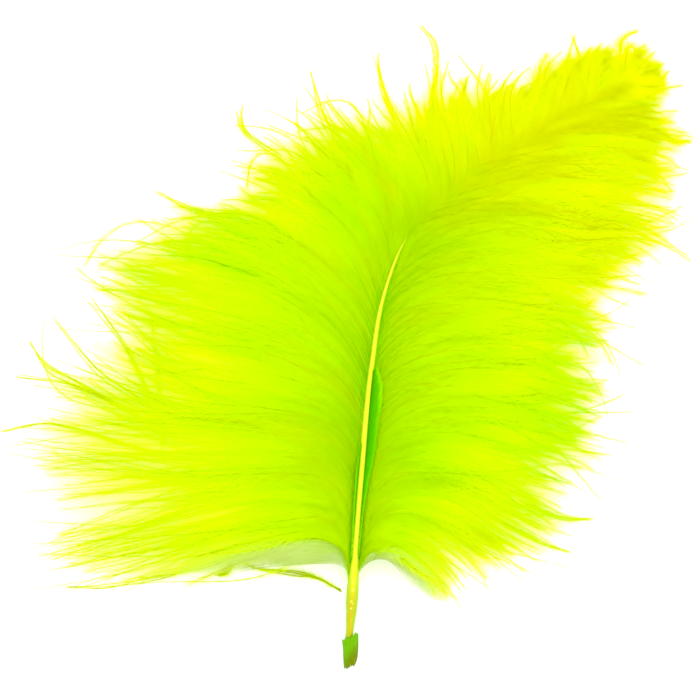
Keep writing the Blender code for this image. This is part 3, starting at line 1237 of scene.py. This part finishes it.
@dataclass
class LooseBarbs:
    """Single barbs that lie apart from the rest, each along a route of its own.

    Attributes:
        routes: Points of each route, from the root to the tip.
        strands: Barbs on a route.
        spread: How far they stray from it.
        dive: How far a root is sunk into the down.
        course_points: Points on a barb.
        radius: A barb's radius at its root.
        down_length: Length of its down.
        down_rows: Pairs of blades on it.
    """

    routes: tuple[tuple[tuple[float, float, float], ...], ...] = (
        (
            (-1.7, -45.8, 1.5), (-5.7, -43.5, 1.2), (-10.0, -42.4, 0.7),
            (-17.8, -41.4, 0.6), (-22.0, -39.2, 0.7), (-24.3, -36.1, 1.2),
        ),
        (
            (-19.3, -35.2, 1.6), (-22.8, -38.6, 0.9), (-29.2, -41.3, 0.6),
            (-38.0, -43.5, 0.5), (-45.9, -44.9, 0.6), (-53.4, -44.9, 0.5),
        ),
        ((-24.9, -42.6, 0.5), (-23.0, -41.6, 0.9), (-21.2, -37.1, 1.4), (-19.7, -32.3, 2.6)),
        ((-35.5, -16.2, 3.6), (-41.4, -1.7, 2.6), (-49.0, 9.7, 1.6)),
        ((-35.3, -18.1, 3.8), (-35.9, -10.5, 3.6), (-36.3, -2.5, 3.0), (-38.0, 7.2, 2.0)),
        ((-28.8, -16.2, 4.0), (-40.6, -8.6, 3.2), (-48.0, -3.4, 2.2), (-56.4, 5.9, 1.2)),
        ((-40.2, -12.4, 3.4), (-52.6, -6.1, 2.0), (-57.9, -3.1, 1.4), (-60.6, 1.5, 1.0)),
        ((-33.6, -16.6, 3.8), (-44.0, -10.5, 3.0), (-52.0, -6.9, 2.2), (-63.2, -5.0, 1.0)),
        ((-36.4, -19.6, 3.6), (-47.8, -16.2, 2.6), (-57.3, -14.3, 1.6), (-65.9, -15.2, 0.8)),
        ((-21.2, 25.4, 3.4), (-29.2, 26.2, 2.6), (-36.3, 29.8, 2.0)),
        ((-13.3, 36.6, 3.6), (-19.5, 41.2, 2.6), (-20.9, 45.6, 2.2)),
        ((0.0, 32.8, 4.4), (-4.5, 43.1, 3.4), (-7.2, 52.6, 2.2)),
        ((9.3, 39.7, 4.2), (6.7, 48.2, 3.2), (5.0, 55.1, 2.2)),
        ((14.9, 46.5, 4.0), (16.6, 52.2, 3.4), (16.0, 57.5, 2.6), (13.3, 61.5, 2.6)),
        ((41.5, 46.5, 4.2), (43.5, 53.4, 3.4), (42.8, 59.4, 2.8)),
        ((57.6, 40.8, 3.6), (61.6, 39.7, 3.2), (64.3, 39.3, 3.0)),
        ((32.0, -28.5, 3.0), (39.6, -31.4, 1.8), (45.6, -32.3, 0.8)),
        ((26.3, -31.4, 3.0), (34.8, -36.1, 1.8), (41.5, -38.4, 0.8)),
    )
    strands: int = 3
    spread: float = 0.35
    dive: float = 2.4
    course_points: int = 22
    radius: float = 0.14
    down_length: float = 1.8
    down_rows: int = 110

    def build(self, finish: bpy.types.Material, down_finish: bpy.types.Material) -> None:
        """Makes the loose barbs and their short down.

        A route is a smooth curve through its points, from the root to the tip. It is lowered at its root
        by the dive times the square of the way left to the tip, so that it comes up out of the down.

        Args:
            finish: The barbs' material.
            down_finish: Their down's material.
        """
        share = np.linspace(0.0, 1.0, self.course_points)
        rng = np.random.default_rng(77)
        rows = []
        for route in self.routes:
            table = np.array(route)
            knots = np.linspace(0.0, 1.0, len(table))
            for _ in range(self.strands):
                rows.append(smooth_curve(knots, table + rng.normal(0.0, self.spread, table.shape), share))
        points = np.array(rows)
        points[..., 2] = np.maximum(points[..., 2] - self.dive * (1.0 - share) ** 2, 0.2)
        count = len(rows)
        thickness, down = np.full(count, self.radius), np.full(count, self.down_length)
        barbs = Barbs(points, thickness, down, np.ones(count), 0.6)
        barbs.tubes().put("loose_barbs", finish, Slot.DOWN)
        barbs.barbules(self.down_rows, rng).put("loose_down", down_finish, Slot.DOWN)


@dataclass
class Studio:
    """The white table, the soft light and the camera that looks straight down.

    Attributes:
        frame_width: How much of the table the camera sees from side to side.
        distance: The camera's height.
        sensor: Its sensor's width.
        table_size: The table's side, in metres.
        sky: The strength of the even white light from all round.
        open_distance: How near a thing has to be to shade light that has bounced twice. Down is too
            fine and too thin for the light in it to be followed much further.
        window_place: Where the lamp stands, in metres.
        window_size: Its side, in metres.
        window_power: Its power, in watts.
    """

    frame_width: float = 133.0
    distance: float = 900.0
    sensor: float = 36.0
    table_size: float = 4.0
    sky: float = 1.53
    open_distance: float = 0.6
    window_place: tuple[float, float, float] = (0.25, 0.60, 1.20)
    window_size: float = 1.0
    window_power: float = 7.0

    def build(self, finish: bpy.types.Material) -> None:
        """Makes the table, the light and the camera.

        Args:
            finish: The table's material.
        """
        self._table(finish)
        self._window()
        self._sky()
        self._camera()

    def _table(self, finish: bpy.types.Material) -> None:
        """Makes the flat table.

        Args:
            finish: Its material.
        """
        half = self.table_size / 2.0
        corners = [(-half, -half, 0), (half, -half, 0), (half, half, 0), (-half, half, 0)]
        mesh = bpy.data.meshes.new("table")
        mesh.from_pydata(corners, [], [(0, 1, 2, 3)])
        mesh.materials.append(finish)
        table = bpy.data.objects.new("table", mesh)
        bpy.context.scene.collection.objects.link(table)

    def _window(self) -> None:
        """Makes a square soft lamp, turned to the plume."""
        light = bpy.data.lights.new("window", "AREA")
        light.size, light.energy = self.window_size, self.window_power
        lamp = bpy.data.objects.new("window", light)
        lamp.location = self.window_place
        east, north, height = self.window_place
        lean = math.atan2(math.hypot(east, north), height)
        lamp.rotation_euler = (lean, 0.0, math.atan2(east, -north))
        bpy.context.scene.collection.objects.link(lamp)

    def _sky(self) -> None:
        """Makes the even white light, and sets how it is followed through the down."""
        world = bpy.data.worlds.new("studio")
        world.use_nodes = True
        background = world.node_tree.nodes["Background"]
        background.inputs["Color"].default_value = (1.0, 1.0, 1.0, 1.0)
        background.inputs["Strength"].default_value = self.sky
        scene = bpy.context.scene
        scene.world = world
        scene.view_settings.view_transform = "Standard"
        scene.view_settings.look = "None"
        scene.cycles.use_fast_gi = True
        scene.cycles.fast_gi_method = "REPLACE"
        scene.cycles.ao_bounces_render = 2
        world.light_settings.distance = self.open_distance * MM
        world.light_settings.ao_factor = 1.0

    def _camera(self) -> None:
        """Makes the camera, straight above the middle of the plan."""
        camera = bpy.data.cameras.new("camera")
        camera.sensor_width = self.sensor
        camera.lens = self.sensor * self.distance / self.frame_width
        camera.clip_start, camera.clip_end = 0.05, 10.0
        stand = bpy.data.objects.new("camera", camera)
        stand.location = (PLAN_MIDDLE[0] * MM, PLAN_MIDDLE[1] * MM, self.distance * MM)
        bpy.context.scene.collection.objects.link(stand)
        bpy.context.scene.camera = stand


def main() -> None:
    """Builds the plume and its studio, piece by piece."""
    logging.basicConfig(level=logging.INFO, format="%(name)s: %(message)s")
    down = DyedDown(
        "dyed_down", (0.72, 0.995, 0.0), (0.78, 0.985, 0.0), (0.88, 0.97, 0.0), BARBS_IN_LAYER
    ).material()
    barb = DyedDown(
        "dyed_barbs", (0.30, 0.94, 0.0), (0.76, 0.97, 0.0), (0.66, 0.79, 0.0), 3 * BARBS_IN_LAYER,
        glow=0.5, fresh=(0.60, 0.96, 0.0), warm=(0.84, 0.92, 0.0),
    ).material()
    # The bases' dark green, darkest at the root, is partly their own colour and partly painted shade by the
    # shaft.
    bases = DyedDown(
        "bases_dye_and_painted_shade", (0.06, 0.48, 0.0), (0.12, 0.66, 0.0), (0.45, 0.92, 0.0), 400,
        glow=0.3, fresh=(0.08, 0.60, 0.0), warm=(0.20, 0.75, 0.0),
    ).material()
    wisps = DyedDown(
        "dyed_wisps", (0.56, 0.70, 0.0), (0.64, 0.74, 0.0), (0.70, 0.80, 0.01), 6, glow=0.3
    ).material()
    shaft = Shaft()
    shaft.build(DyedHorn().material())
    SheathScrap().build(DrySheath().material())
    BarbBases(shaft).build(bases)
    haze = DownHaze().material()
    DownVane(Side.LEFT, shaft, LEFT_TUFTS).build(down, barb, haze)
    DownVane(Side.RIGHT, shaft, RIGHT_TUFTS).build(down, barb, haze)
    LooseBarbs().build(wisps, down)
    Studio().build(WhiteTable().material())


if __name__ == "__main__":
    main()
